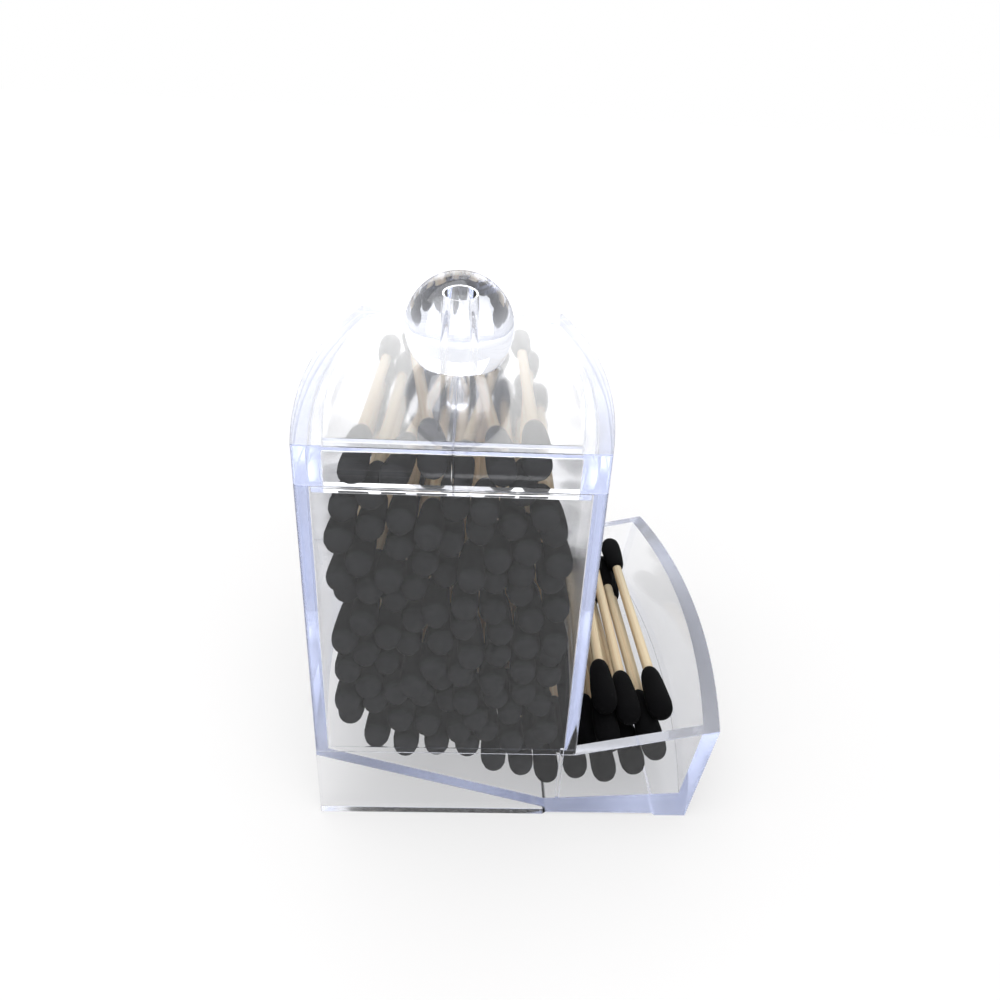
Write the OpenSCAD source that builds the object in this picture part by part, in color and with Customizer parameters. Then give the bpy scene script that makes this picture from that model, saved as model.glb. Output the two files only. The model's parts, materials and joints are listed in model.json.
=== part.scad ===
// Clear table-top dispenser for cotton swabs: a hopper over a sloped floor that feeds an open tray,
// closed by a lift-off lid with a ball knob, and filled with bamboo swabs with black cotton tips.
// X runs from the hopper to the tray, Y from the front wall to the back wall, Z up from the table.

/* [Hopper] */
// Width of the hopper at its front corners
hopper_w = 52; // [40:0.5:70]
// Depth of the whole dispenser, from front face to back face
depth = 88; // [84:0.5:100]
// Height of the hopper tube, from the seam to its rim
hopper_h = 59.4; // [45:0.1:90]
// Thickness of the hopper and base walls
wall = 2.6; // [1.8:0.1:3.5]
// How far the left and right walls bulge outwards at mid depth
bow = 4.6; // [2:0.1:8]
// Rounding of the upright outer edges
edge_r = 0.8; // [0.3:0.1:1.5]
// Height of the taper that thins the lower end of the hopper's right wall
taper_h = 11.5; // [6:0.5:16]
// Thickness of that wall at its lower tip
taper_tip = 0.4; // [0.2:0.1:1]

/* [Base] */
// Height of the seam between base and hopper above the table
seam_h = 17.2; // [15:0.1:24]
// Thickness of the sloped floor and the tray floor
floor_t = 2.4; // [1.6:0.1:3.2]
// Depth of the sloped floor's high end below the seam
floor_drop = 0.8; // [0.4:0.1:2]
// Height of the tray floor's top face where the slope meets it
floor_low = 3.2; // [3:0.1:5]
// Rise of the tray floor from the slope to the end wall
tray_rise = 2; // [0:0.1:3]
// Distance from the hopper's right face back to the foot of the slope
kink_in = 5.5; // [2:0.1:12]
// Reach of the tray beyond the hopper's right face, at its rim
tray_reach = 28.4; // [22:0.1:45]
// Height of the tray rim at the end wall
tray_h = 24.2; // [21:0.1:32]
// Lean of the tray's end wall away from upright, in degrees
tray_lean = 8; // [0:0.5:14]
// Thickness of the tray's end wall
end_t = 3; // [2:0.1:4]
// Length of the foot under the tray's end
foot_l = 6.6; // [4:0.1:12]
// Height of the relief between the foot and the skirt
relief_h = 0.6; // [0.3:0.1:1]
// Width of the small rib inside the front and back walls under the hopper's right wall
rib_w = 0.7; // [0.5:0.1:1.2]
// How far that rib stands out from the wall
rib_d = 0.5; // [0.3:0.1:0.8]

/* [Lid] */
// Height of the lid above the hopper's rim
lid_h = 7.3; // [6:0.1:14]
// Thickness of the lid's roof
roof_t = 2.3; // [1.6:0.1:3]
// Thickness of the lid's plug
plug_t = 2.2; // [1.6:0.1:3]
// How deep the plug sits in the hopper
plug_depth = 2.2; // [1.5:0.1:4]
// Gap between the plug and the hopper's inner faces
plug_gap = 0.3; // [0.2:0.05:0.6]

/* [Knob] */
// Diameter of the ball knob
ball_d = 22.6; // [14:0.1:30]
// Height cut off the ball where it stands on the roof
ball_flat = 3.6; // [0.5:0.1:5]
// Diameter of the stud that holds the ball
stud_d = 4.8; // [3:0.1:6.4]
// Length of the stud below the roof's underside
stud_l = 9; // [2:0.1:9.5]
// Depth of the stud's socket in the ball, above the ball's flat
socket_l = 12.6; // [8:0.1:14]
// Air left round the stud in that socket
socket_gap = 0.3; // [0.1:0.05:0.6]
// Gap between the stud and its hole in the roof
stud_gap = 0.05; // [0.02:0.01:0.2]

/* [Swabs] */
// Length of a swab over both tips
swab_l = 75; // [72:0.5:76]
// Diameter of the bamboo stick
stick_d = 2.4; // [1.8:0.1:2.6]
// Largest diameter of a cotton tip
tip_d = 5.4; // [4.8:0.1:6]
// Length of a cotton tip
tip_l = 15; // [12:0.5:18]
// Depth to which the stick enters a tip
grip_l = 12; // [8:0.5:14]
// Distance kept between neighbouring tips
swab_gap = 0.2; // [0.15:0.05:0.5]
// Most swabs that are poured in under the crossed ones on top
pour_count = 120; // [60:1:150]
// Seed for the pile's irregularity
pile_seed = 7; // [1:1:99]

/* [Hidden] */
$fn = 64;
// Overshoot of a cutting shape past the face that it cuts
cut = 1;
half_w = hopper_w / 2;
half_in = half_w - wall;
rim_z = seam_h + hopper_h;
roof_z = rim_z + lid_h;
bow_r = (pow(depth / 2, 2) + pow(bow, 2)) / (2 * bow);
tray_x = half_w + tray_reach;
kink_x = half_w - kink_in;
floor_high = seam_h - floor_drop;
// Fall of the sloped floor for each millimetre towards the tray
slope = (floor_high - floor_low) / (kink_x + half_in);
slope_t = floor_t * sqrt(1 + slope * slope);
foot_x = tray_x - tray_h * tan(tray_lean);
tray_slope = tray_rise / (foot_x - end_t - kink_x);
mid = depth / 2;
rim_slope = (tray_h - seam_h) / tray_reach;
// Furthest that the leaning, bowed end wall reaches past the tray's front corner
end_bulge = bow / (cos(tray_lean) - rim_slope * sin(tray_lean));
shift_x = (tray_x + end_bulge - half_w - bow) / 2;
stick_r = stick_d / 2;
tip_r = tip_d / 2;
// A tip keeps its full thickness up to its belly's end, then narrows to a rounded shoulder and neck
belly_l = tip_r * 1.8;
shoulder_l = tip_l - tip_r / 2;
shoulder_r = tip_r * 0.84;
neck_r = stick_r * 1.25;

CLEAR = [0.83, 0.87, 0.97, 0.35];
BAMBOO = [0.86, 0.72, 0.5];
COTTON = [0.03, 0.03, 0.035];

COURSES = 10;
TRAY_SWABS = 10;
function two(i) = str(i < 10 ? "0" : "", i);
function course_name(i) = str("hopper_course_", two(i));
function tray_name(i) = str("tray_swab_", two(i));

// Height of the floor's top face at x, inside the hopper and the tray.
function floor_z(x) = x < kink_x
    ? floor_low + (kink_x - x) * slope
    : floor_low + (x - kink_x) * tray_slope;

// The pile is poured one swab at a time. Each swab is held as [front x, front z, back x, back z,
// nose y]: the places of its two tips, and where its front nose lies between the walls.
// It settles on the swabs below it, tested at several stations along Y.
STATIONS = concat(
    [for (t = [-0.04:0.02:0.1]) t],
    [0.15, 0.2, 0.25, 0.35, 0.5, 0.65, 0.75, 0.8, 0.85],
    [for (t = [0.9:0.02:1.04]) t]
);
// Distance from a tip's nose to its widest place, where the pile is measured
nose_in = tip_d * 0.6;
// Air kept between a swab and the walls, and between a swab and the floor
wall_air = 0.5;
floor_air = 0.15;
front_y = wall + nose_in + wall_air;
back_y = depth - front_y;
// Room for a tip's axis between the hopper's side walls
lane_w = half_in - tip_r - swab_gap;
// The pile ends below the hopper's rim. In the tray it is heaped above the rim at the front, sunk at
// the back, and falls away towards the end wall.
below_rim = 6.5;
tray_heap = 0.8;
tray_sink = 4.2;
tray_fall = 0.15;
// Greatest height of an axis: in the hopper, under the wall's tip, and at the tray's front and back
pile_z = rim_z - below_rim;
slot_z = seam_h - tip_r - swab_gap;
tray_front_z = tray_h + tray_heap;
tray_back_z = tray_h - tray_sink;
tray_far = foot_x - end_t - tip_r - wall_air;
// Beyond this the tray is open above, clear of the hopper's bulging wall
slot_end = half_w + bow + stick_r + wall_air;

function mix(a, b, share) = a + (b - a) * share;
// Half the thickness of a swab at a distance u from its nearer nose
function girth(u) = u <= 0 ? 0
    : u < tip_r ? sqrt(pow(tip_r, 2) - pow(tip_r - u, 2))
    : u < belly_l ? tip_r
    : u < shoulder_l ? mix(tip_r, shoulder_r, (u - belly_l) / (shoulder_l - belly_l))
    : u < tip_l ? mix(shoulder_r, neck_r, (u - shoulder_l) / (tip_l - shoulder_l))
    : stick_r;
// Thickness of a swab at station t: true, or with each tip taken as thick all along
function radius_at(nose, t, true_shape) =
    let (u = mix(front_y, back_y, t) - nose)
    true_shape ? girth(min(u, swab_l - u)) : (u < tip_l || u > swab_l - tip_l) ? tip_r : stick_r;
function x_at(s, t) = mix(s[0], s[2], t);
function z_at(s, t) = mix(s[1], s[3], t);

// Height at which a swab's axis rests at x and station t; u widens the gap for a slanted swab.
function rest_z(pile, x, nose, t, u, true_shape = false) =
    let (own = radius_at(nose, t, true_shape))
    own == 0 ? 0 : max(concat(
        [floor_z(x) + (own + floor_air) * sqrt(1 + slope * slope)],
        [for (s = pile)
            let (d = abs(x - x_at(s, t)), r = radius_at(s[4], t, true_shape), a = r + own + swab_gap * u)
            if (r > 0 && d < a) z_at(s, t) + sqrt(a * a - d * d)]
    ));

function ceiling_z(x, t) = x <= lane_w ? pile_z
    : x < slot_end ? slot_z
    : (t < 0.5 ? tray_front_z : tray_back_z) - tray_fall * (x - slot_end);

function slack(pile, xf, xb, zf, zb, nose, u, true_shape) = min([for (t = STATIONS)
    mix(zf, zb, t) - rest_z(pile, mix(xf, xb, t), nose, t, u, true_shape)]);

// A swab is laid on the thick shapes first, and then sinks straight down until its true shape touches.
function settled(pile, xf, xb, nose, u) =
    let (
        pf = rest_z(pile, xf, nose, 0, u),
        pb = rest_z(pile, xb, nose, 1, u),
        up = min(0, slack(pile, xf, xb, pf, pb, nose, u, false)),
        down = max(0, slack(pile, xf, xb, pf - up, pb - up, nose, u, true))
    )
    [xf, pf - up - down, xb, pb - up - down, nose];

function place_of(list, value) = [for (i = [0:len(list) - 1]) if (list[i] == value) i][0];

// Lowest free place for the next swab's front tip, out of a row of trial places.
TRIALS = 48;
TRIAL_STEP = (tray_far + lane_w) / TRIALS;
NOISE = rands(-0.5, 0.5, 2 * pour_count + 2, pile_seed);
// Share of a trial step by which a place may wander, and the step between trial places at the back
wander = 0.8;
back_step = 0.8;
function clamp_x(x, low, high) = min(max(x, low), high);
function trial_x(i, n) = clamp_x(-lane_w + (i + NOISE[n] * wander) * TRIAL_STEP, -lane_w, tray_far);
function cost(pile, x, nose, t) = let (z = rest_z(pile, x, nose, t, 1)) z > ceiling_z(x, t) ? 1000 + z : z;
// Between the hopper's lane and the tray the back tip stays under the wall or beyond it.
function back_x(pile, xf, nose, n) =
    let (
        low = xf <= lane_w ? -lane_w : xf < slot_end ? lane_w : slot_end,
        high = xf <= lane_w ? lane_w : tray_far,
        xs = [for (k = [-2:2]) clamp_x(xf + k * back_step + NOISE[n + 1], low, high)],
        costs = [for (x = xs) cost(pile, x, nose, 1)]
    )
    xs[place_of(costs, min(costs))];

// Free length between the walls, shared out at random between a swab's two ends.
end_gap = 0.4;
play = depth - 2 * wall - swab_l - 2 * end_gap;
// Share of that length that is used, and how much the gap widens for slanted and for crossed swabs
play_used = 0.9;
slant = 1.1;
across = 1.5;
function pour(pile, n) = n >= pour_count ? pile :
    let (
        nose = wall + end_gap + play * (0.5 + NOISE[2 * n + 1]) * play_used,
        xs = [for (i = [0:TRIALS]) trial_x(i, 2 * n)],
        costs = [for (x = xs) cost(pile, x, nose, 0)],
        low = min(costs)
    )
    low > 900 ? pile : pour(concat(pile, [
        let (xf = xs[place_of(costs, low)]) settled(pile, xf, back_x(pile, xf, nose, 2 * n), nose, slant)
    ]), n + 1);

// The last swabs lie across the pile, inside the lid's plug. Each gives its front and back places as
// shares of the lane; the leaning ones pass the stud on either side.
top_lane = half_in - plug_gap - plug_t - tip_r - wall_air;
top_nose = wall + plug_gap + plug_t + wall_air;
// Their noses are set back by this step, four swabs in turn
nose_step = 0.3;
CROSSED = [
    [-0.82, -0.77], [0.69, 1], [0, 0.59], [-0.6, -0.09],
    [0.49, 0.13], [-0.98, -1], [0.82, 0.83], [-0.18, -0.72]
];
function crossed(pile, n) = n >= len(CROSSED) ? pile :
    crossed(concat(pile, [
        let (nose = top_nose + nose_step * (n % 4))
            settled(pile, CROSSED[n][0] * top_lane, CROSSED[n][1] * top_lane, nose, across)
    ]), n + 1);

PILE = crossed(pour([], 0), 0);
IN_TRAY = [for (s = PILE) if (s[0] > lane_w + 0.01) s];
IN_HOPPER = [for (s = PILE) if (s[0] <= lane_w + 0.01) s];
// The hopper's swabs are shared out over its courses in the order in which they were poured
function course_start(i) = floor((i - 1) * len(IN_HOPPER) / COURSES);

// Outline in plan of the hopper, or of what fits inside it when inset is above zero.
module hopper_plan(inset, low, high) {
    intersection() {
        translate([-half_w - bow, inset, low])
            cube([hopper_w + 2 * bow, depth - 2 * inset, high - low]);
        translate([half_w + bow - bow_r, mid, low])
            cylinder(r = bow_r - inset, h = high - low);
        translate([bow_r - half_w - bow, mid, low])
            cylinder(r = bow_r - inset, h = high - low);
    }
}

// What is taken off one upright edge, the one at the front right, to round it.
module edge_cutter(low, high) {
    axis_x = half_w + bow - bow_r;
    cx = axis_x + sqrt(pow(bow_r - edge_r, 2) - pow(mid - edge_r, 2));
    out = [cx - axis_x, edge_r - mid] / (bow_r - edge_r);
    difference() {
        translate([cx, edge_r, low])
            linear_extrude(high - low)
                polygon([
                    [0, 0], [0, -edge_r - cut], [edge_r + 2 * cut, -edge_r - cut], out * (edge_r + 2 * cut)
                ]);
        translate([cx, edge_r, low - cut])
            cylinder(r = edge_r, h = high - low + 2 * cut);
    }
}

module round_upright_edges(low, high) {
    difference() {
        children();
        for (right = [0, 1]) for (back = [0, 1])
            translate([0, back * depth, 0]) mirror([0, back, 0]) mirror([1 - right, 0, 0])
                edge_cutter(low - cut, high + cut);
    }
}

// A slab along Y whose side view is the polygon.
module slab(points, from_y, to_y) {
    translate([0, to_y, 0]) rotate([90, 0, 0]) linear_extrude(to_y - from_y) polygon(points);
}

// Everything left of the tray's leaning, bowed end wall; inset moves the surface inwards.
module left_of_end_wall(inset) {
    reach = 3 * tray_h;
    translate([tray_x, mid, tray_h]) rotate([0, tray_lean, 0])
        translate([bow - bow_r, 0, -reach]) cylinder(r = bow_r - inset, h = 2 * reach);
}

module right_of_left_wall(inset) {
    translate([bow_r - half_w - bow, mid, -cut]) cylinder(r = bow_r - inset, h = rim_z);
}

module base_outline() {
    far = tray_x + bow + tray_h;
    slab([
        [-half_w - bow - cut, 0], [-half_w - bow - cut, seam_h], [half_w, seam_h],
        [far, tray_h + (far - tray_x) * rim_slope], [far, 0],
        [foot_x - foot_l, 0], [foot_x - foot_l - relief_h, relief_h],
        [kink_x + relief_h, relief_h], [kink_x, 0]
    ], 0, depth);
}

// Space above the sloped floor and the tray floor.
module trough() {
    far = tray_x + 2 * bow;
    slab([
        [-half_w - bow, floor_z(-half_w - bow)], [kink_x, floor_low], [far, floor_z(far)],
        [far, tray_h + far], [-half_w - bow, tray_h + far]
    ], wall, depth - wall);
}

// Open wedge between the skirts, under the sloped floor.
module under_slope() {
    start = -half_w - 2 * bow;
    foot = kink_x - (slope_t - floor_low) / slope;
    slab([
        [start, -cut], [start, floor_z(start) - slope_t],
        [foot, 0], [foot + cut / slope, -cut]
    ], wall, depth - wall);
}

module rib() {
    translate([half_in - rib_w / 2, wall - cut, floor_z(half_in) - floor_t / 2])
        cube([rib_w, rib_d + cut, seam_h - floor_z(half_in) + floor_t / 2]);
}

module base() {
    color(CLEAR) {
        difference() {
            intersection() {
                base_outline();
                left_of_end_wall(0);
                right_of_left_wall(0);
            }
            intersection() {
                trough();
                left_of_end_wall(end_t);
                right_of_left_wall(wall);
            }
            under_slope();
        }
        rib();
        translate([0, depth, 0]) mirror([0, 1, 0]) rib();
    }
}

module hopper() {
    color(CLEAR) difference() {
        round_upright_edges(seam_h, rim_z) hopper_plan(0, seam_h, rim_z);
        hopper_plan(wall, seam_h - cut, rim_z + cut);
        // The right wall thins from outside to a blunt tip just above the seam.
        difference() {
            translate([0, wall, seam_h - cut])
                cube([hopper_w, depth - 2 * wall, taper_h + cut]);
            translate([half_w + bow - bow_r, mid, seam_h - cut])
                cylinder(r1 = bow_r - wall + taper_tip - (wall - taper_tip) / taper_h * cut,
                         r2 = bow_r, h = taper_h + cut);
        }
    }
}

module lid() {
    inner = wall + plug_gap;
    color(CLEAR) difference() {
        union() {
            round_upright_edges(rim_z, roof_z) hopper_plan(0, rim_z, roof_z);
            hopper_plan(inner, rim_z - plug_depth, rim_z + cut);
        }
        hopper_plan(inner + plug_t, rim_z - plug_depth - cut, roof_z - roof_t);
        translate([0, mid, roof_z - roof_t - cut])
            cylinder(r = stud_d / 2 + stud_gap, h = roof_t + 2 * cut);
    }
}

module knob() {
    color(CLEAR) translate([0, mid, roof_z]) {
        difference() {
            translate([0, 0, ball_d / 2 - ball_flat]) sphere(d = ball_d);
            translate([-ball_d, -ball_d, -ball_d]) cube([2 * ball_d, 2 * ball_d, ball_d]);
            translate([0, 0, -cut]) cylinder(d = stud_d + 2 * socket_gap, h = socket_l + cut);
        }
        translate([0, 0, -roof_t - stud_l]) cylinder(d = stud_d, h = roof_t + stud_l + socket_l + cut);
    }
}

// One cotton tip along +Z, with its nose at the origin and a blind bore for the stick.
module tip() {
    rotate_extrude() difference() {
        union() {
            intersection() {
                translate([0, tip_r]) circle(r = tip_r);
                square([tip_d, tip_r]);
            }
            polygon([
                [0, tip_r], [tip_r, tip_r], [tip_r, belly_l],
                [shoulder_r, shoulder_l], [neck_r, tip_l], [0, tip_l]
            ]);
        }
        translate([0, tip_l - grip_l]) square([stick_r, grip_l + cut]);
    }
}

// Places its child, drawn along +Z from one nose to the other, as swab s of the pile.
module lay_swab(s) {
    run = [s[2] - s[0], back_y - front_y, s[3] - s[1]];
    flat_run = norm([run[0], run[1]]);
    translate([s[0], front_y, s[1]])
        rotate([0, 0, -atan2(run[0], run[1])])
            rotate([atan2(run[2], flat_run), 0, 0])
                rotate([-90, 0, 0])
                    translate([0, 0, s[4] - front_y]) children();
}

module stick(s) {
    color(BAMBOO) lay_swab(s)
        translate([0, 0, tip_l - grip_l])
            cylinder(d = stick_d, h = swab_l - 2 * (tip_l - grip_l));
}

module tips(s) {
    color(COTTON) lay_swab(s) {
        tip();
        translate([0, 0, swab_l]) mirror([0, 0, 1]) tip();
    }
}

translate([-shift_x, -mid, 0]) {
    base();
    hopper();
    lid();
    knob();
    for (i = [1:COURSES]) {
        course = [course_start(i):1:course_start(i + 1) - 1];
        for (k = course) stick(IN_HOPPER[k]);
        for (k = course) tips(IN_HOPPER[k]);
    }
    for (i = [1:TRAY_SWABS]) {
        own = [i - 1:TRAY_SWABS:len(IN_TRAY) - 1];
        for (k = own) stick(IN_TRAY[k]);
        for (k = own) tips(IN_TRAY[k]);
    }
}
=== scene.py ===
import json
import math
import random

import bpy
from mathutils import Matrix, Vector, noise

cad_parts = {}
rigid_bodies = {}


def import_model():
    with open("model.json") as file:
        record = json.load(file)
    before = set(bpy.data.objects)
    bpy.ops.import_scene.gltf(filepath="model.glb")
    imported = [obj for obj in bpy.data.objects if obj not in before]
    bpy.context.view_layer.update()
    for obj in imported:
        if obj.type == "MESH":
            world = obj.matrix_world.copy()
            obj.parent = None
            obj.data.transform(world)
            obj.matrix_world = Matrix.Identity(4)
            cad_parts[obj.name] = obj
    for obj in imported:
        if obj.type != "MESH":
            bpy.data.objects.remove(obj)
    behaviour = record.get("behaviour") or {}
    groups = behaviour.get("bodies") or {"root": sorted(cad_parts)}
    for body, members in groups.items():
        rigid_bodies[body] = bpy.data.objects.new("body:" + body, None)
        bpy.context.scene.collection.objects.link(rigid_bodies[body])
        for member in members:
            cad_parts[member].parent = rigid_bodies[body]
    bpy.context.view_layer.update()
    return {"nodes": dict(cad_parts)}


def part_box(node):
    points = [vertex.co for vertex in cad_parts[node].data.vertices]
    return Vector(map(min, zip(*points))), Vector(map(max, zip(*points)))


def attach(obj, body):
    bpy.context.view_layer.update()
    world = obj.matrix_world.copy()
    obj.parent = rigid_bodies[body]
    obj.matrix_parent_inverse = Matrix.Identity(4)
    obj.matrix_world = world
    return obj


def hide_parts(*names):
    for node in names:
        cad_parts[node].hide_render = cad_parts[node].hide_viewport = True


bl_info = {
    "name": "Cotton swab dispenser",
    "version": (1, 0, 0),
    "blender": (4, 5, 0),
    "location": "View3D > Sidebar > Swab dispenser",
    "description": "Clear plastic mouldings, bamboo sticks and cotton tips around the packed part",
    "category": "Object",
}

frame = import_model()
NODES = frame["nodes"]
MM = 0.001

# Sizes as in the part's source: distance from a stick's end to the nose of the cotton on it, radius
# of a stick, radius of the knob's stud, depth of its socket in the ball, and the air round it.
NOSE = 3.0 * MM
STICK_R = 1.2 * MM
STUD_R = 2.4 * MM
SOCKET_L = 12.6 * MM
SOCKET_GAP = 0.3 * MM
# Rounding of the stud's lower end.
STUD_FILLET = 0.35 * MM
# Shape of a cotton tip: distance from the nose and radius, both in mm.
TIP_PROFILE = [
    (0.0, 0.62), (0.28, 1.42), (0.9, 2.08), (1.9, 2.52), (3.4, 2.7), (6.6, 2.62),
    (10.2, 2.4), (12.9, 2.12), (14.3, 1.72), (15.0, 1.28),
]
# Points closer than WELD become one, and points within TOUCH of a plane lie on it.
WELD = 0.002 * MM
TOUCH = 0.01 * MM
# Faces that turn less than FLAT_ANGLE are one face, edges that turn more than ROUND_ANGLE are
# rounded, and edges that turn less than SMOOTH_ANGLE shade smooth.
FLAT_ANGLE = math.radians(0.4)
ROUND_ANGLE = math.radians(30)
SMOOTH_ANGLE = math.radians(40)


class MouldingSettings(bpy.types.PropertyGroup):
    edge: bpy.props.FloatProperty(
        name="Edge rounding", description="Radius of the mouldings' edges",
        default=0.22 * MM, min=0.05 * MM, max=1.0 * MM, unit="LENGTH", precision=5)
    seam: bpy.props.FloatProperty(
        name="Air in joints", description="Air left where one moulding stands on another",
        default=0.04 * MM, min=0.0, max=0.2 * MM, unit="LENGTH", precision=5)
    ior: bpy.props.FloatProperty(
        name="Refraction", description="Index of refraction of the clear plastic",
        default=1.49, min=1.3, max=1.7)
    depth_colour: bpy.props.FloatVectorProperty(
        name="Colour in depth", description="Colour of the plastic seen along a wall",
        default=(0.03, 0.24, 0.93), size=3, subtype="COLOR", min=0.0, max=1.0)
    depth_density: bpy.props.FloatProperty(
        name="Depth density", description="How fast that colour builds up, per metre",
        default=4.6, min=0.0, max=40.0)
    shadow: bpy.props.FloatVectorProperty(
        name="Shadow colour", description="Light that is left in a shadow behind one face",
        default=(0.984, 0.986, 0.992), size=3, subtype="COLOR", min=0.0, max=1.0)
    ridge: bpy.props.FloatProperty(
        name="Mould line height", description="Height of the mould line on the lid",
        default=0.15 * MM, min=0.0, max=0.3 * MM, unit="LENGTH", precision=5)


class SwabSettings(bpy.types.PropertyGroup):
    seed: bpy.props.IntProperty(
        name="Seed", description="Seed for the turn and the shape of each swab",
        default=11, min=0, max=999)
    uneven: bpy.props.FloatProperty(
        name="Unevenness", description="How far a cotton tip departs from round",
        default=0.1 * MM, min=0.0, max=0.3 * MM, unit="LENGTH", precision=5)
    cotton: bpy.props.FloatVectorProperty(
        name="Cotton", description="Colour of the dyed cotton",
        default=(0.003, 0.003, 0.0035), size=3, subtype="COLOR", min=0.0, max=1.0)
    # Painted light: the hopper's cotton noses get a paler grey than the cotton, for the light that
    # falls on them from the front.
    nose_painted_light: bpy.props.FloatVectorProperty(
        name="Painted light on noses",
        description="Paler grey painted on the cotton's nose for the light that falls on it through the hopper's front",
        default=(0.06, 0.062, 0.067), size=3, subtype="COLOR", min=0.0, max=1.0)
    bamboo: bpy.props.FloatVectorProperty(
        name="Bamboo", description="Main colour of the bamboo",
        default=(0.95, 0.8, 0.55), size=3, subtype="COLOR", min=0.0, max=1.0)
    bamboo_fibre: bpy.props.FloatVectorProperty(
        name="Bamboo fibre", description="Colour of the darker fibres in the bamboo",
        default=(0.84, 0.62, 0.38), size=3, subtype="COLOR", min=0.0, max=1.0)


class StageSettings(bpy.types.PropertyGroup):
    floor: bpy.props.FloatVectorProperty(
        name="Floor", description="Colour of the floor",
        default=(0.4, 0.396, 0.396), size=3, subtype="COLOR", min=0.0, max=1.0)
    floor_mirrored: bpy.props.FloatVectorProperty(
        name="Floor in reflections", description="Colour of the floor as the plastic mirrors it",
        default=(0.22, 0.218, 0.218), size=3, subtype="COLOR", min=0.0, max=1.0)
    lens: bpy.props.FloatProperty(
        name="Lens", description="Focal length of the camera", default=28.22, min=10, max=120)
    camera_place: bpy.props.FloatVectorProperty(
        name="Camera place", description="Where the camera stands",
        default=(-0.0120, -0.1590, 0.1364), size=3, subtype="TRANSLATION")
    yaw: bpy.props.FloatProperty(
        name="Yaw", description="Turn of the camera to the right, in degrees", default=2.83)
    pitch: bpy.props.FloatProperty(
        name="Pitch", description="Tilt of the camera below the horizon, in degrees", default=28.03)
    roll: bpy.props.FloatProperty(
        name="Roll", description="Turn of the camera about its own axis, in degrees", default=3.03)


# Small helpers


def clear_selection():
    if bpy.context.object and bpy.context.object.mode != "OBJECT":
        bpy.ops.object.mode_set(mode="OBJECT")
    for item in bpy.data.objects:
        item.select_set(False)


def choose(*items):
    """Select only these objects; the first one is active."""
    clear_selection()
    for item in items:
        item.select_set(True)
    bpy.context.view_layer.objects.active = items[0]


def new_piece(name, mesh):
    piece = bpy.data.objects.new(name, mesh)
    bpy.context.scene.collection.objects.link(piece)
    return piece


def joined(name, parts):
    """Join the objects into one piece at the origin."""
    choose(*parts)
    if len(parts) > 1:
        bpy.ops.object.join()
    piece = bpy.context.object
    piece.name = name
    piece.data.name = name
    return piece


def apply_all(piece):
    choose(piece)
    for modifier in list(piece.modifiers):
        bpy.ops.object.modifier_apply(modifier=modifier.name)


def finish_piece(piece, body, slot, material, *nodes):
    """Give the piece its material, attach it to the body it rides and hide the CAD nodes it stands
    in for.
    """
    piece.data.materials.clear()
    piece.data.materials.append(material)
    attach(piece, body)
    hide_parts(*nodes)


# Materials


def fresh_material(name):
    """A material with an empty node tree, or the finished one and no tree if it is there."""
    if name in bpy.data.materials:
        return bpy.data.materials[name], None
    material = bpy.data.materials.new(name)
    material.use_nodes = True
    tree = material.node_tree
    tree.nodes.clear()
    return material, tree


def add(tree, kind, **values):
    """Add a node. A value named in_From_Min sets the input From Min, any other one a property."""
    node = tree.nodes.new(kind)
    for key, value in values.items():
        if key.startswith("in_"):
            node.inputs[key[3:].replace("_", " ")].default_value = value
        else:
            setattr(node, key, value)
    return node


def fresh_group(name, *sockets):
    """A node group with these sockets, each with its name, its side and its kind."""
    tree = bpy.data.node_groups.new(name, "ShaderNodeTree")
    for label, side, kind in sockets:
        tree.interface.new_socket(label, in_out=side, socket_type="NodeSocket" + kind)
    return tree


def ripple_group():
    """Slow waviness of a moulded face, with fine rubbed marks, from Object coordinates."""
    name = "moulded surface"
    if name in bpy.data.node_groups:
        return bpy.data.node_groups[name]
    tree = fresh_group(
        name, ("Vector", "INPUT", "Vector"), ("Wave scale", "INPUT", "Float"),
        ("Mark scale", "INPUT", "Float"), ("Height", "OUTPUT", "Float"),
        ("Marks", "OUTPUT", "Float"))
    start = add(tree, "NodeGroupInput")
    end = add(tree, "NodeGroupOutput")
    wave = add(tree, "ShaderNodeTexNoise", in_Detail=1.5, in_Roughness=0.4)
    marks = add(tree, "ShaderNodeTexNoise", in_Detail=3.0, in_Roughness=0.6)
    ramp = add(tree, "ShaderNodeMapRange", in_From_Min=0.6, in_From_Max=0.78)
    link = tree.links.new
    link(start.outputs["Vector"], wave.inputs["Vector"])
    link(start.outputs["Wave scale"], wave.inputs["Scale"])
    link(start.outputs["Vector"], marks.inputs["Vector"])
    link(start.outputs["Mark scale"], marks.inputs["Scale"])
    link(marks.outputs["Fac"], ramp.inputs["Value"])
    link(wave.outputs["Fac"], end.inputs["Height"])
    link(ramp.outputs["Result"], end.inputs["Marks"])
    return tree


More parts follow.
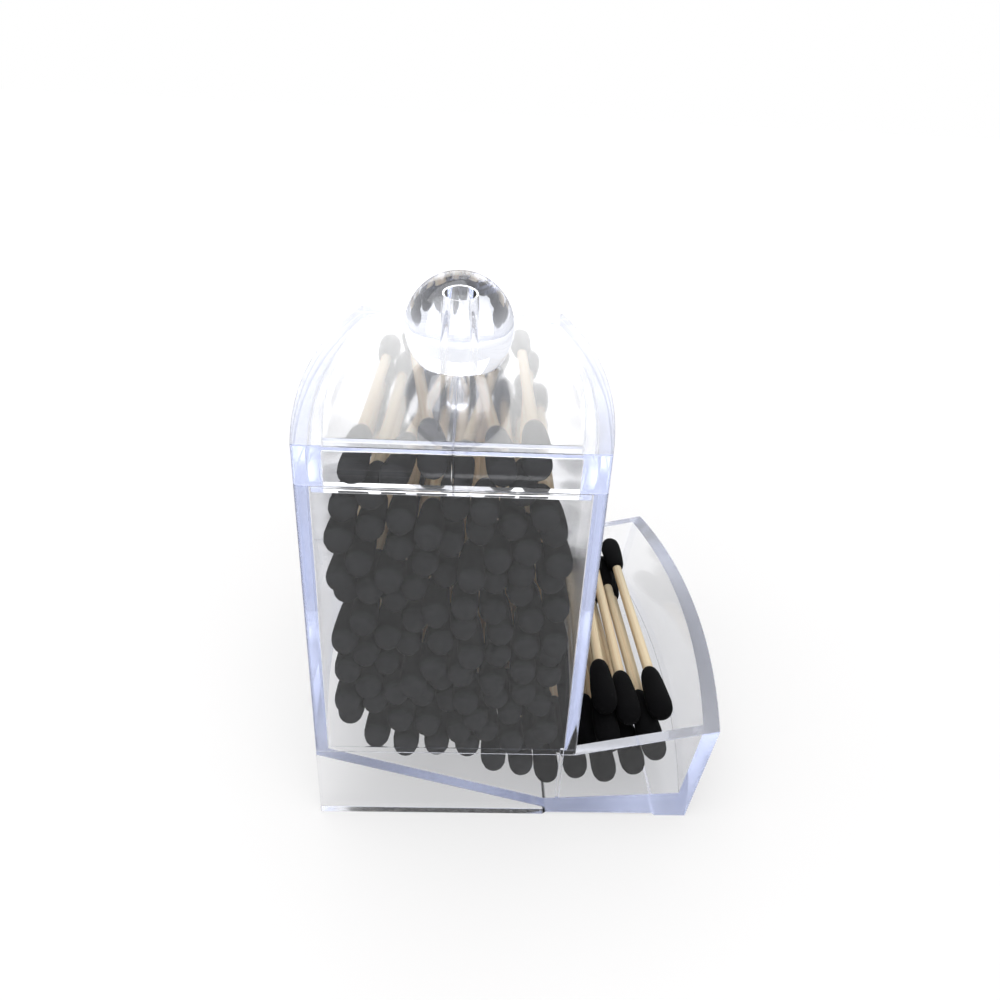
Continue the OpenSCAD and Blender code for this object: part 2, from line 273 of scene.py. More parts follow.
def fibre_group():
    """Streaks drawn out along one direction of the vector, for bamboo grain and wound cotton."""
    name = "fibre streaks"
    if name in bpy.data.node_groups:
        return bpy.data.node_groups[name]
    tree = fresh_group(
        name, ("Vector", "INPUT", "Vector"), ("Stretch", "INPUT", "Vector"),
        ("Scale", "INPUT", "Float"), ("Streaks", "OUTPUT", "Float"), ("Fine", "OUTPUT", "Float"))
    start = add(tree, "NodeGroupInput")
    end = add(tree, "NodeGroupOutput")
    stretch = add(tree, "ShaderNodeVectorMath", operation="MULTIPLY")
    broad = add(tree, "ShaderNodeTexNoise", in_Detail=4.0, in_Roughness=0.55)
    fine = add(tree, "ShaderNodeTexNoise", in_Detail=6.0, in_Roughness=0.7)
    triple = add(tree, "ShaderNodeMath", operation="MULTIPLY")
    triple.inputs[1].default_value = 3.7
    link = tree.links.new
    link(start.outputs["Vector"], stretch.inputs[0])
    link(start.outputs["Stretch"], stretch.inputs[1])
    link(start.outputs["Scale"], broad.inputs["Scale"])
    link(start.outputs["Scale"], triple.inputs[0])
    link(triple.outputs[0], fine.inputs["Scale"])
    link(stretch.outputs[0], broad.inputs["Vector"])
    link(stretch.outputs[0], fine.inputs["Vector"])
    link(broad.outputs["Fac"], end.inputs["Streaks"])
    link(fine.outputs["Fac"], end.inputs["Fine"])
    return tree


def clear_plastic(name, wave_scale, wave_height, polish, side_rough, top_rough):
    """Clear moulded plastic: bluish in depth, slightly wavy, with faint rubbed marks.

    The faces that look to the front and back are polished. Those that look sideways and those that
    look up or down are less smooth, each by its own value.
    """
    settings = bpy.context.scene.swab_mouldings
    material, tree = fresh_material(name)
    if tree is None:
        return material
    out = add(tree, "ShaderNodeOutputMaterial")
    coat = add(tree, "ShaderNodeBsdfPrincipled")
    coat.inputs["Base Color"].default_value = (1.0, 1.0, 1.0, 1.0)
    coat.inputs["IOR"].default_value = settings.ior
    coat.inputs["Transmission Weight"].default_value = 1.0
    place = add(tree, "ShaderNodeTexCoord")
    surface = add(tree, "ShaderNodeGroup", node_tree=ripple_group())
    surface.inputs["Wave scale"].default_value = wave_scale
    surface.inputs["Mark scale"].default_value = 700.0
    facing = add(tree, "ShaderNodeNewGeometry")
    upright = add(tree, "ShaderNodeVectorMath", operation="ABSOLUTE")
    axes = add(tree, "ShaderNodeSeparateXYZ")
    sides = add(tree, "ShaderNodeMapRange", in_From_Min=0.4, in_From_Max=0.8, in_To_Max=side_rough)
    tops = add(tree, "ShaderNodeMapRange", in_From_Min=0.4, in_From_Max=0.8, in_To_Max=top_rough)
    rubbed = add(tree, "ShaderNodeMapRange", in_To_Min=polish, in_To_Max=polish + 0.04)
    faces = add(tree, "ShaderNodeMath", operation="ADD")
    rough = add(tree, "ShaderNodeMath", operation="ADD")
    bump = add(tree, "ShaderNodeBump", in_Strength=1.0, in_Distance=wave_height)
    rays = add(tree, "ShaderNodeLightPath")
    shade = add(tree, "ShaderNodeBsdfTransparent")
    shade.inputs["Color"].default_value = (*settings.shadow, 1.0)
    mix = add(tree, "ShaderNodeMixShader")
    depth = add(tree, "ShaderNodeVolumeAbsorption")
    depth.inputs["Color"].default_value = (*settings.depth_colour, 1.0)
    depth.inputs["Density"].default_value = settings.depth_density
    link = tree.links.new
    link(place.outputs["Object"], surface.inputs["Vector"])
    link(facing.outputs["Normal"], upright.inputs[0])
    link(upright.outputs[0], axes.inputs[0])
    link(axes.outputs["X"], sides.inputs["Value"])
    link(axes.outputs["Z"], tops.inputs["Value"])
    link(surface.outputs["Marks"], rubbed.inputs["Value"])
    link(sides.outputs["Result"], faces.inputs[0])
    link(tops.outputs["Result"], faces.inputs[1])
    link(faces.outputs[0], rough.inputs[0])
    link(rubbed.outputs["Result"], rough.inputs[1])
    link(rough.outputs[0], coat.inputs["Roughness"])
    link(surface.outputs["Height"], bump.inputs["Height"])
    link(bump.outputs["Normal"], coat.inputs["Normal"])
    link(rays.outputs["Is Shadow Ray"], mix.inputs["Fac"])
    link(coat.outputs[0], mix.inputs[1])
    link(shade.outputs[0], mix.inputs[2])
    link(mix.outputs[0], out.inputs["Surface"])
    link(depth.outputs[0], out.inputs["Volume"])
    return material


def bamboo_material():
    settings = bpy.context.scene.swab_swabs
    material, tree = fresh_material("bamboo grain")
    if tree is None:
        return material
    out = add(tree, "ShaderNodeOutputMaterial")
    wood = add(tree, "ShaderNodeBsdfPrincipled")
    place = add(tree, "ShaderNodeUVMap", uv_map="Along")
    fibres = add(tree, "ShaderNodeGroup", node_tree=fibre_group())
    fibres.inputs["Stretch"].default_value = (1.0, 0.05, 1.0)
    fibres.inputs["Scale"].default_value = 9.0
    tone = add(tree, "ShaderNodeValToRGB")
    tone.color_ramp.elements[0].position = 0.36
    tone.color_ramp.elements[0].color = (*settings.bamboo_fibre, 1.0)
    tone.color_ramp.elements[1].position = 0.56
    tone.color_ramp.elements[1].color = (*settings.bamboo, 1.0)
    rough = add(tree, "ShaderNodeMapRange", in_To_Min=0.45, in_To_Max=0.75)
    bump = add(tree, "ShaderNodeBump", in_Strength=0.35, in_Distance=0.1 * MM)
    link = tree.links.new
    link(place.outputs["UV"], fibres.inputs["Vector"])
    link(fibres.outputs["Streaks"], tone.inputs["Fac"])
    link(tone.outputs["Color"], wood.inputs["Base Color"])
    link(fibres.outputs["Fine"], rough.inputs["Value"])
    link(rough.outputs["Result"], wood.inputs["Roughness"])
    link(fibres.outputs["Fine"], bump.inputs["Height"])
    link(bump.outputs["Normal"], wood.inputs["Normal"])
    link(wood.outputs[0], out.inputs["Surface"])
    return material


def cotton_material(name, painted_nose_light_colour):
    """Black cotton wool, wound round the stick, with its own colour at the nose, which is painted
    light where that colour is paler than the cotton.
    """
    settings = bpy.context.scene.swab_swabs
    material, tree = fresh_material(name)
    if tree is None:
        return material
    out = add(tree, "ShaderNodeOutputMaterial")
    wool = add(tree, "ShaderNodeBsdfPrincipled")
    wool.inputs["Roughness"].default_value = 0.95
    wool.inputs["Specular IOR Level"].default_value = 0.1
    place = add(tree, "ShaderNodeUVMap", uv_map="Along")
    fibres = add(tree, "ShaderNodeGroup", node_tree=fibre_group())
    fibres.inputs["Stretch"].default_value = (0.25, 1.0, 1.0)
    fibres.inputs["Scale"].default_value = 7.0
    split = add(tree, "ShaderNodeSeparateXYZ")
    # Painted light: towards the nose the colour goes over into the nose colour, which in the hopper
    # is a paler grey for the light on the noses.
    nose = add(tree, "ShaderNodeMapRange", in_From_Min=0.02, in_From_Max=0.2,
               in_To_Min=1.0, in_To_Max=0.0)
    streaked = add(tree, "ShaderNodeMath", operation="MULTIPLY_ADD")
    streak_share = streaked.inputs[1]
    streak_share.default_value = 0.3
    tone = add(tree, "ShaderNodeValToRGB")
    tone.color_ramp.elements[0].position = 0.1
    tone.color_ramp.elements[0].color = (*settings.cotton, 1.0)
    tone.color_ramp.elements[1].position = 1.0
    tone.color_ramp.elements[1].color = (*painted_nose_light_colour, 1.0)
    bump = add(tree, "ShaderNodeBump", in_Strength=0.35, in_Distance=0.15 * MM)
    link = tree.links.new
    link(place.outputs["UV"], fibres.inputs["Vector"])
    link(place.outputs["UV"], split.inputs[0])
    link(split.outputs["Y"], nose.inputs["Value"])
    link(fibres.outputs["Streaks"], streaked.inputs[0])
    link(nose.outputs["Result"], streaked.inputs[2])
    link(streaked.outputs[0], tone.inputs["Fac"])
    link(tone.outputs["Color"], wool.inputs["Base Color"])
    link(fibres.outputs["Fine"], bump.inputs["Height"])
    link(bump.outputs["Normal"], wool.inputs["Normal"])
    link(wool.outputs[0], out.inputs["Surface"])
    return material


# Mouldings


def moulded_copy(node, name, bottom_shift=0.0):
    """A moulding's own mesh, welded, with rounded edges and its lowest face moved up or down."""
    settings = bpy.context.scene.swab_mouldings
    clear_selection()
    piece = new_piece(name, NODES[node].data.copy())
    choose(piece)
    bpy.ops.mesh.customdata_custom_splitnormals_clear()
    bpy.ops.object.mode_set(mode="EDIT")
    bpy.ops.mesh.select_all(action="SELECT")
    bpy.ops.mesh.remove_doubles(threshold=WELD)
    bpy.ops.mesh.dissolve_limited(angle_limit=FLAT_ANGLE)
    bpy.ops.object.mode_set(mode="OBJECT")
    if bottom_shift:
        low = min(v.co.z for v in piece.data.vertices)
        for v in piece.data.vertices:
            if v.co.z < low + TOUCH:
                v.co.z += bottom_shift
    round_edges = piece.modifiers.new("Rounded edges", "BEVEL")
    round_edges.width = settings.edge
    round_edges.segments = 3
    round_edges.limit_method = "ANGLE"
    round_edges.angle_limit = ROUND_ANGLE
    round_edges.miter_outer = "MITER_ARC"
    apply_all(piece)
    return piece


def shade_faces(piece):
    """Smooth the rounded edges and keep the wide faces flat."""
    choose(piece)
    bpy.ops.object.shade_smooth_by_angle(angle=SMOOTH_ANGLE)
    flat = piece.modifiers.new("Flat faces", "WEIGHTED_NORMAL")
    flat.keep_sharp = True
    apply_all(piece)


def mould_line(piece, x, start_y, half_width):
    """Raise a narrow strip from start_y over the roof and down the front: the moulds' joint."""
    settings = bpy.context.scene.swab_mouldings
    # Faces within this depth of the outside belong to the roof or the front.
    skin = 1.5 * settings.edge
    # Width of the ridge's crest, as a share of its foot's.
    taper = 0.3
    choose(piece)
    bpy.ops.object.mode_set(mode="EDIT")
    for side in (-half_width, half_width):
        bpy.ops.mesh.select_all(action="SELECT")
        bpy.ops.mesh.bisect(plane_co=(x + side, 0, 0), plane_no=(1, 0, 0))
    bpy.ops.mesh.select_all(action="SELECT")
    bpy.ops.mesh.bisect(plane_co=(0, start_y, 0), plane_no=(0, 1, 0))
    bpy.ops.mesh.select_mode(type="FACE")
    bpy.ops.mesh.select_all(action="DESELECT")
    bpy.ops.object.mode_set(mode="OBJECT")
    top = max(v.co.z for v in piece.data.vertices) - skin
    front = min(v.co.y for v in piece.data.vertices) + skin
    for face in piece.data.polygons:
        on_line = abs(face.center.x - x) < half_width and face.center.y < start_y
        face.select = on_line and (face.center.z > top or face.center.y < front)
    bpy.ops.object.mode_set(mode="EDIT")
    bpy.ops.mesh.extrude_region_shrink_fatten(TRANSFORM_OT_shrink_fatten={"value": settings.ridge})
    bpy.ops.transform.resize(value=(taper, 1, 1), center_override=(x, 0, 0))
    bpy.ops.object.mode_set(mode="OBJECT")


class SWABBOX_OT_shell(bpy.types.Operator):
    """Round the base and the hopper and glue them together at the seam"""

    bl_idname = "swabbox.shell"
    bl_label = "Base and hopper"

    def execute(self, context):
        piece = moulded_copy("base", "clear_shell")
        # The tube's foot sinks a hair into the base, so that the two join as one.
        tube = moulded_copy("hopper", "hopper tube", -0.5 * context.scene.swab_mouldings.seam)
        glue = piece.modifiers.new("Glue", "BOOLEAN")
        glue.operation = "UNION"
        glue.solver = "MANIFOLD"
        glue.object = tube
        apply_all(piece)
        bpy.data.objects.remove(tube)
        shade_faces(piece)
        plastic = clear_plastic("clear plastic shell", wave_scale=45.0, wave_height=0.04 * MM,
                                polish=0.01, side_rough=0.13, top_rough=0.16)
        finish_piece(piece, "dispenser", "clear_plastic", plastic, "base", "hopper")
        return {"FINISHED"}


class SWABBOX_OT_lid(bpy.types.Operator):
    """Round and finish the lid with its plug"""

    bl_idname = "swabbox.lid"
    bl_label = "Lid"

    def execute(self, context):
        piece = moulded_copy("lid", "clear_lid")
        gap = context.scene.swab_mouldings.seam
        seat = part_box("hopper")[1].z
        for v in piece.data.vertices:
            if abs(v.co.z - seat) < TOUCH:
                v.co.z += gap
        low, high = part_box("lid")
        knob_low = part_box("knob")[0]
        # The mould line starts under the ball.
        mould_line(piece, x=(low.x + high.x) / 2, start_y=knob_low.y + 2.0 * MM,
                   half_width=0.2 * MM)
        shade_faces(piece)
        plastic = clear_plastic("clear plastic lid", wave_scale=45.0, wave_height=0.04 * MM,
                                polish=0.01, side_rough=0.13, top_rough=0.05)
        finish_piece(piece, "lid", "clear_plastic", plastic, "lid")
        return {"FINISHED"}


class SWABBOX_OT_knob(bpy.types.Operator):
    """Make the polished ball with its stud"""

    bl_idname = "swabbox.knob"
    bl_label = "Ball knob"

    def execute(self, context):
        low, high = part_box("knob")
        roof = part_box("lid")[1].z
        seat = roof + context.scene.swab_mouldings.seam
        radius = (high.x - low.x) / 2
        centre = Vector(((low.x + high.x) / 2, (low.y + high.y) / 2, high.z - radius))
        clear_selection()
        bpy.ops.mesh.primitive_uv_sphere_add(
            segments=96, ring_count=64, radius=radius, location=centre)
        ball = context.object
        bpy.ops.object.transform_apply(location=True, rotation=True, scale=True)
        bpy.ops.object.mode_set(mode="EDIT")
        bpy.ops.mesh.select_all(action="SELECT")
        bpy.ops.mesh.bisect(plane_co=(centre.x, centre.y, seat), plane_no=(0, 0, 1),
                            use_fill=True, clear_inner=True)
        bpy.ops.mesh.select_mode(type="FACE")
        bpy.ops.mesh.select_all(action="DESELECT")
        bpy.ops.object.mode_set(mode="OBJECT")
        flat_face = min(ball.data.polygons, key=lambda p: p.center.z)
        rim = [ball.data.vertices[i].co for i in flat_face.vertices]
        foot = max((point - flat_face.center).length for point in rim)
        flat_face.select = True
        bpy.ops.object.mode_set(mode="EDIT")
        # The flat is drawn up into the socket, and the stud comes down out of the socket's end.
        socket_end = roof + SOCKET_L
        bpy.ops.mesh.inset(thickness=foot - STUD_R - SOCKET_GAP)
        bpy.ops.mesh.extrude_region_move(
            TRANSFORM_OT_translate={"value": (0, 0, socket_end - seat)})
        bpy.ops.mesh.inset(thickness=SOCKET_GAP)
        bpy.ops.mesh.extrude_region_move(
            TRANSFORM_OT_translate={"value": (0, 0, low.z + STUD_FILLET - socket_end)})
        bpy.ops.mesh.extrude_region_move(
            TRANSFORM_OT_translate={"value": (0, 0, -STUD_FILLET)})
        share = (STUD_R - STUD_FILLET) / STUD_R
        bpy.ops.transform.resize(
            value=(share, share, 1), center_override=(centre.x, centre.y, low.z))
        bpy.ops.mesh.select_all(action="SELECT")
        bpy.ops.mesh.normals_make_consistent(inside=False)
        bpy.ops.object.mode_set(mode="OBJECT")
        ball.name = "ball_knob"
        ball.data.name = "ball_knob"
        bpy.ops.object.shade_smooth_by_angle(angle=SMOOTH_ANGLE)
        plastic = clear_plastic("clear polished ball", wave_scale=30.0, wave_height=0.01 * MM,
                                polish=0.005, side_rough=0.0, top_rough=0.0)
        finish_piece(ball, "lid", "clear_plastic", plastic, "knob")
        return {"FINISHED"}


# Swabs


def turned(name, profile, sides):
    """A closed turned body along +Z from (height, radius) pairs, made by extruding a disc."""
    clear_selection()
    start, radius = profile[0]
    bpy.ops.mesh.primitive_circle_add(
        vertices=sides, radius=radius, fill_type="NGON", location=(0, 0, start))
    body = bpy.context.object
    bpy.ops.object.transform_apply(location=True, rotation=True, scale=True)
    bpy.ops.object.mode_set(mode="EDIT")
    bpy.ops.mesh.select_mode(type="FACE")
    bpy.ops.mesh.select_all(action="SELECT")
    for height, wide in profile[1:]:
        bpy.ops.mesh.extrude_region_move(TRANSFORM_OT_translate={"value": (0, 0, height - start)})
        share = wide / radius
        bpy.ops.transform.resize(value=(share, share, 1), center_override=(0, 0, height))
        start, radius = height, wide
    bpy.ops.mesh.select_all(action="SELECT")
    bpy.ops.mesh.normals_make_consistent(inside=False)
    bpy.ops.object.mode_set(mode="OBJECT")
    bpy.ops.object.shade_smooth()
    body.name = name
    return body


def wrap(mesh, length):
    """UV map along the swab: across is the way round, up is the distance from the end."""
    for old in list(mesh.uv_layers):
        mesh.uv_layers.remove(old)
    layer = mesh.uv_layers.new(name="Along")
    for face in mesh.polygons:
        mid = math.atan2(face.center.y, face.center.x)
        for corner in face.loop_indices:
            co = mesh.vertices[mesh.loops[corner].vertex_index].co
            turn = math.atan2(co.y, co.x)
            turn += 2 * math.pi * round((mid - turn) / (2 * math.pi))
            layer.data[corner].uv = (turn / (2 * math.pi), co.z / length)


def tip_masters(sides, count, uneven):
    """Several tips of one shape, each a little out of round in its own way."""
    profile = [(height * MM, radius * MM) for height, radius in TIP_PROFILE]
    lumps_per_metre = 260
    drawn_out = 0.7
    axis_r = 0.3 * MM
    masters = []
    for k in range(count):
        body = turned("tip master", profile, sides)
        own_part = Vector((k * 9.1, 3.3, k))
        for v in body.data.vertices:
            out = Vector((v.co.x, v.co.y, 0))
            if out.length > axis_r:
                spot = Vector((v.co.x, v.co.y, v.co.z * drawn_out))
                lump = noise.noise(spot * lumps_per_metre + own_part)
                v.co += out.normalized() * lump * uneven
        wrap(body.data, profile[-1][0])
        masters.append(body.data)
        bpy.data.objects.remove(body)
    return masters


def stick_master(sides, length):
    body = turned("stick master", [(0.0, STICK_R), (length, STICK_R)], sides)
    wrap(body.data, length)
    mesh = body.data
    bpy.data.objects.remove(body)
    return mesh


def stick_ends(node):
    """The two end centres of every stick in a CAD node, from its loose triangles."""
    mesh = NODES[node].data
    parent = {}

    def root(key):
        while parent[key] != key:
            parent[key] = parent[parent[key]]
            key = parent[key]
        return key

    keys = [tuple(round(c, 6) for c in v.co) for v in mesh.vertices]
    for key in keys:
        parent.setdefault(key, key)
    for face in mesh.polygons:
        first = root(keys[face.vertices[0]])
        for i in face.vertices[1:]:
            parent[root(keys[i])] = first
    groups = {}
    for key in parent:
        groups.setdefault(root(key), []).append(Vector(key))
    ends = []
    for points in groups.values():
        mid = sum(points, Vector()) / len(points)
        front = [p for p in points if p.y < mid.y]
        back = [p for p in points if p.y >= mid.y]
        ends.append((sum(front, Vector()) / len(front), sum(back, Vector()) / len(back)))
    return sorted(ends, key=lambda e: (round(e[0].z, 5), round(e[0].x, 5)))


def placed(mesh, name, origin, direction, spin):
    """A copy of a master that stands along +Z, laid from origin along direction."""
    turn = direction.to_track_quat("Z", "Y").to_matrix().to_4x4()
    copy = mesh.copy()
    copy.transform(Matrix.Translation(origin) @ turn @ Matrix.Rotation(spin, 4, "Z"))
    return new_piece(name, copy)


def lay_swabs(stick_names, tips_names, tips, stick, cotton, chance):
    """Lay new swabs along a CAD node's sticks. Each pair of names is the CAD node and the piece."""
    stick_node, stick_name = stick_names
    tips_node, tips_name = tips_names
    sticks, cottons = [], []
    for front, back in stick_ends(stick_node):
        along = (back - front).normalized()
        sticks.append(placed(stick, stick_name, front, along, chance.uniform(0, math.tau)))
        # Each stick shows its own part of the grain.
        shift = chance.random()
        for item in sticks[-1].data.uv_layers["Along"].data:
            item.uv = (item.uv[0] + shift * 7, item.uv[1] + shift * 3)
        for nose, inward in ((front - along * NOSE, along), (back + along * NOSE, -along)):
            tip = chance.choice(tips)
            cottons.append(placed(tip, tips_name, nose, inward, chance.uniform(0, math.tau)))
    finish_piece(joined(stick_name, sticks), "dispenser", "bamboo", bamboo_material(), stick_node)
    finish_piece(joined(tips_name, cottons), "dispenser", "black_cotton", cotton, tips_node)


def stick_size(node):
    front, back = stick_ends(node)[0]
    return (back - front).length


def stems(start, end):
    """Names of the CAD nodes with this start and this end, without the end."""
    return sorted(n.removesuffix(end) for n in NODES if n.startswith(start) and n.endswith(end))


class SWABBOX_OT_hopper_swabs(bpy.types.Operator):
    """Lay the swabs that fill the hopper"""

    bl_idname = "swabbox.hopper_swabs"
    bl_label = "Swabs in the hopper"

    def execute(self, context):
        settings = context.scene.swab_swabs
        chance = random.Random(settings.seed)
        courses = stems("hopper_course", "_sticks")
        tips = tip_masters(sides=14, count=5, uneven=settings.uneven)
        stick = stick_master(sides=10, length=stick_size(courses[0] + "_sticks"))
        # Painted light: the noses in the hopper are painted a paler grey for the light that falls
        # on them from the front.
        cotton = cotton_material("black cotton, painted light on noses", settings.nose_painted_light)
        for course in courses:
            number = course[-2:]
            lay_swabs((course + "_sticks", "bamboo_sticks_" + number),
                      (course + "_tips", "cotton_tips_" + number), tips, stick, cotton, chance)
        return {"FINISHED"}


class SWABBOX_OT_tray_swabs(bpy.types.Operator):
    """Lay the swabs that lie in the open tray, in finer detail"""

    bl_idname = "swabbox.tray_swabs"
    bl_label = "Swabs in the tray"

    def execute(self, context):
        settings = context.scene.swab_swabs
        chance = random.Random(settings.seed + 1)
        names = stems("tray_swab", "_stick")
        tips = tip_masters(sides=28, count=4, uneven=settings.uneven)
        stick = stick_master(sides=20, length=stick_size(names[0] + "_stick"))
        cotton = cotton_material("black cotton", settings.cotton)
        for name in names:
            number = name[-2:]
            lay_swabs((name + "_stick", "tray_stick_" + number),
                      (name + "_tips", "tray_tips_" + number), tips, stick, cotton, chance)
        return {"FINISHED"}


# Stage


def floor_material():
    settings = bpy.context.scene.swab_stage
    material, tree = fresh_material("white floor")
    if tree is None:
        return material
    out = add(tree, "ShaderNodeOutputMaterial")
    paper = add(tree, "ShaderNodeBsdfPrincipled")
    tone = add(tree, "ShaderNodeMix", data_type="RGBA")
    # This node's colours are its inputs 6 and 7 and its output 2.
    share, seen_colour, mirrored_colour = tone.inputs[0], tone.inputs[6], tone.inputs[7]
    seen_colour.default_value = (*settings.floor, 1.0)
    mirrored_colour.default_value = (*settings.floor_mirrored, 1.0)
    paper.inputs["Roughness"].default_value = 0.9
    paper.inputs["Specular IOR Level"].default_value = 0.1
    paper.inputs["Emission Color"].default_value = (1.0, 1.0, 1.0, 1.0)
    # The floor goes over into the white background: seen directly or through the plastic it is
    # lifted a little near the dispenser and fully farther away.
    place = add(tree, "ShaderNodeTexCoord")
    away = add(tree, "ShaderNodeVectorMath", operation="LENGTH")
    fade = add(tree, "ShaderNodeMapRange", in_From_Min=0.1, in_From_Max=0.9,
               in_To_Min=0.55, in_To_Max=0.85)
    rays = add(tree, "ShaderNodeLightPath")
    mirrored = add(tree, "ShaderNodeMath", operation="SUBTRACT", use_clamp=True)
    seen = add(tree, "ShaderNodeMath", operation="MAXIMUM")
    lift = add(tree, "ShaderNodeMath", operation="MULTIPLY")
    link = tree.links.new
    # A ray that has passed through the plastic counts as a glossy one too.
    link(rays.outputs["Is Glossy Ray"], mirrored.inputs[0])
    link(rays.outputs["Is Transmission Ray"], mirrored.inputs[1])
    link(mirrored.outputs[0], share)
    link(tone.outputs[2], paper.inputs["Base Color"])
    link(place.outputs["Object"], away.inputs[0])
    link(away.outputs["Value"], fade.inputs["Value"])
    link(rays.outputs["Is Camera Ray"], seen.inputs[0])
    link(rays.outputs["Is Transmission Ray"], seen.inputs[1])
    link(seen.outputs[0], lift.inputs[0])
    link(fade.outputs["Result"], lift.inputs[1])
    link(lift.outputs[0], paper.inputs["Emission Strength"])
    link(paper.outputs[0], out.inputs["Surface"])
    return material


def white_world():
    """Soft light from all round, paler from above, in front of a white background."""
    world = bpy.data.worlds.new("white room")
    bpy.context.scene.world = world
    world.use_nodes = True
    tree = world.node_tree
    tree.nodes.clear()
    out = add(tree, "ShaderNodeOutputWorld")
    light = add(tree, "ShaderNodeBackground")
    backdrop = add(tree, "ShaderNodeBackground")
    backdrop.inputs["Color"].default_value = (1.0, 1.0, 1.0, 1.0)
    backdrop.inputs["Strength"].default_value = 1.0
    place = add(tree, "ShaderNodeTexCoord")
    split = add(tree, "ShaderNodeSeparateXYZ")
    height = add(tree, "ShaderNodeMapRange", in_From_Min=-0.2, in_From_Max=1.0,
                 in_To_Min=0.35, in_To_Max=0.55)
    rays = add(tree, "ShaderNodeLightPath")
    seen = add(tree, "ShaderNodeMath", operation="MAXIMUM")
    seen_too = add(tree, "ShaderNodeMath", operation="MAXIMUM")
    mix = add(tree, "ShaderNodeMixShader")
    link = tree.links.new
    link(place.outputs["Generated"], split.inputs[0])
    link(split.outputs["Z"], height.inputs["Value"])
    link(height.outputs["Result"], light.inputs["Strength"])
    link(rays.outputs["Is Camera Ray"], seen.inputs[0])
    link(rays.outputs["Is Glossy Ray"], seen.inputs[1])
    link(seen.outputs[0], seen_too.inputs[0])
    link(rays.outputs["Is Transmission Ray"], seen_too.inputs[1])
    link(seen_too.outputs[0], mix.inputs["Fac"])
    link(light.outputs[0], mix.inputs[1])
    link(backdrop.outputs[0], mix.inputs[2])
    link(mix.outputs[0], out.inputs["Surface"])


def soft_lamp(name, place, aim, size, power):
    """A rectangular lamp that faces its aim; sizes in metres, power in watts."""
    data = bpy.data.lights.new(name, "AREA")
    data.shape = "RECTANGLE"
    data.size, data.size_y = size
    data.energy = power
    lamp = bpy.data.objects.new(name, data)
    lamp.location = place
    lamp.rotation_euler = (Vector(aim) - Vector(place)).to_track_quat("-Z", "Y").to_euler()
    bpy.context.scene.collection.objects.link(lamp)


def stand_camera(settings):
    yaw, pitch, roll = (math.radians(a) for a in (settings.yaw, settings.pitch, settings.roll))
    level = math.cos(pitch)
    look = Vector((math.sin(yaw) * level, math.cos(yaw) * level, -math.sin(pitch)))
    right = Vector((math.cos(yaw), -math.sin(yaw), 0))
    up = right.cross(look)
    across = right * math.cos(roll) + up * math.sin(roll)
    upward = up * math.cos(roll) - right * math.sin(roll)
    data = bpy.data.cameras.new("camera")
    data.lens = settings.lens
    data.sensor_width = 36
    data.clip_start = 0.01
    camera = bpy.data.objects.new("camera", data)
    turn = Matrix((across, upward, -look)).transposed().to_4x4()
    camera.matrix_world = Matrix.Translation(Vector(settings.camera_place)) @ turn
    bpy.context.scene.collection.objects.link(camera)
    bpy.context.scene.camera = camera


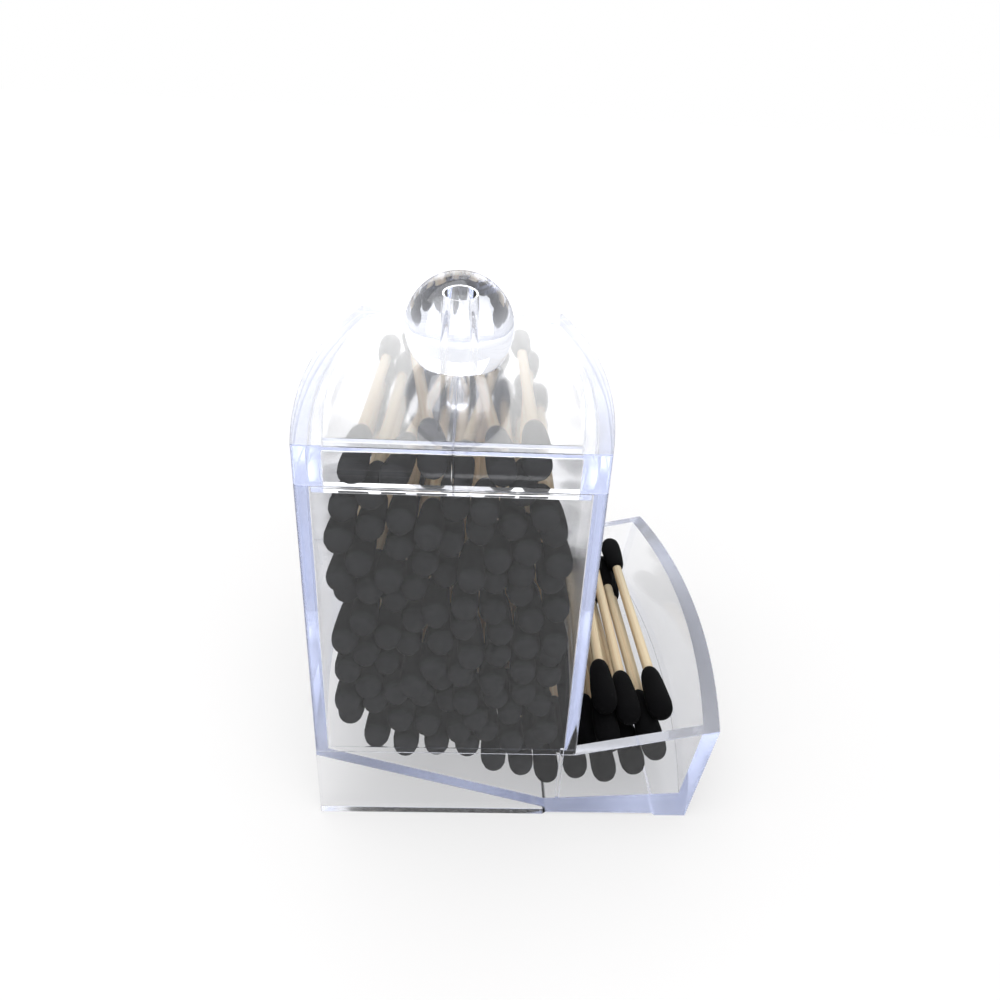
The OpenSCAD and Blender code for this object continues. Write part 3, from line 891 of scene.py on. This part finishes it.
class SWABBOX_OT_stage(bpy.types.Operator):
    """Set the floor, the light and the camera"""

    bl_idname = "swabbox.stage"
    bl_label = "Stage"

    def execute(self, context):
        scene = context.scene
        clear_selection()
        # The floor lies a hair below the base, so that the two faces stay apart.
        bpy.ops.mesh.primitive_grid_add(
            x_subdivisions=8, y_subdivisions=8, size=8, location=(0, 0, -0.02 * MM))
        floor = context.object
        floor.name = "floor"
        bpy.ops.object.transform_apply(location=True, rotation=True, scale=True)
        floor.data.materials.append(floor_material())
        white_world()
        soft_lamp("ceiling panel", place=(-0.25, -0.1, 0.95), aim=(0.0, 0.0, 0.04),
                  size=(1.2, 1.2), power=9.5)
        soft_lamp("back panel", place=(-0.05, 1.5, 0.8), aim=(-0.05, 0.0, 0.8),
                  size=(1.4, 0.86), power=4.3)
        soft_lamp("front panel", place=(0.35, -0.9, 0.55), aim=(0.02, 0.0, 0.04),
                  size=(0.9, 0.5), power=3.2)
        scene.view_settings.view_transform = "Standard"
        scene.cycles.max_bounces = 64
        scene.cycles.transmission_bounces = 64
        scene.cycles.glossy_bounces = 32
        scene.cycles.transparent_max_bounces = 48
        scene.cycles.caustics_reflective = False
        scene.cycles.caustics_refractive = False
        stand_camera(scene.swab_stage)
        return {"FINISHED"}


class SWABBOX_PT_panel(bpy.types.Panel):
    """Buttons and sizes for the dispenser"""

    bl_label = "Swab dispenser"
    bl_idname = "SWABBOX_PT_panel"
    bl_space_type = "VIEW_3D"
    bl_region_type = "UI"
    bl_category = "Swab dispenser"

    def draw(self, context):
        layout = self.layout
        for group in SETTINGS:
            settings = getattr(context.scene, group)
            column = layout.column()
            for name in settings.bl_rna.properties.keys():
                if name not in ("rna_type", "name"):
                    column.prop(settings, name)
        for operator in PIECES:
            layout.operator(operator.bl_idname)


PIECES = (
    SWABBOX_OT_shell, SWABBOX_OT_lid, SWABBOX_OT_knob,
    SWABBOX_OT_hopper_swabs, SWABBOX_OT_tray_swabs, SWABBOX_OT_stage,
)
SETTINGS = {
    "swab_mouldings": MouldingSettings, "swab_swabs": SwabSettings, "swab_stage": StageSettings,
}


def register():
    for settings in SETTINGS.values():
        bpy.utils.register_class(settings)
    for name, settings in SETTINGS.items():
        setattr(bpy.types.Scene, name, bpy.props.PointerProperty(type=settings))
    for operator in PIECES:
        bpy.utils.register_class(operator)
    bpy.utils.register_class(SWABBOX_PT_panel)


def unregister():
    bpy.utils.unregister_class(SWABBOX_PT_panel)
    for operator in reversed(PIECES):
        bpy.utils.unregister_class(operator)
    for name in SETTINGS:
        delattr(bpy.types.Scene, name)
    for settings in reversed(SETTINGS.values()):
        bpy.utils.unregister_class(settings)


def main():
    register()
    bpy.ops.swabbox.shell()
    bpy.ops.swabbox.lid()
    bpy.ops.swabbox.knob()
    bpy.ops.swabbox.hopper_swabs()
    bpy.ops.swabbox.tray_swabs()
    bpy.ops.swabbox.stage()


if __name__ == "__main__":
    main()
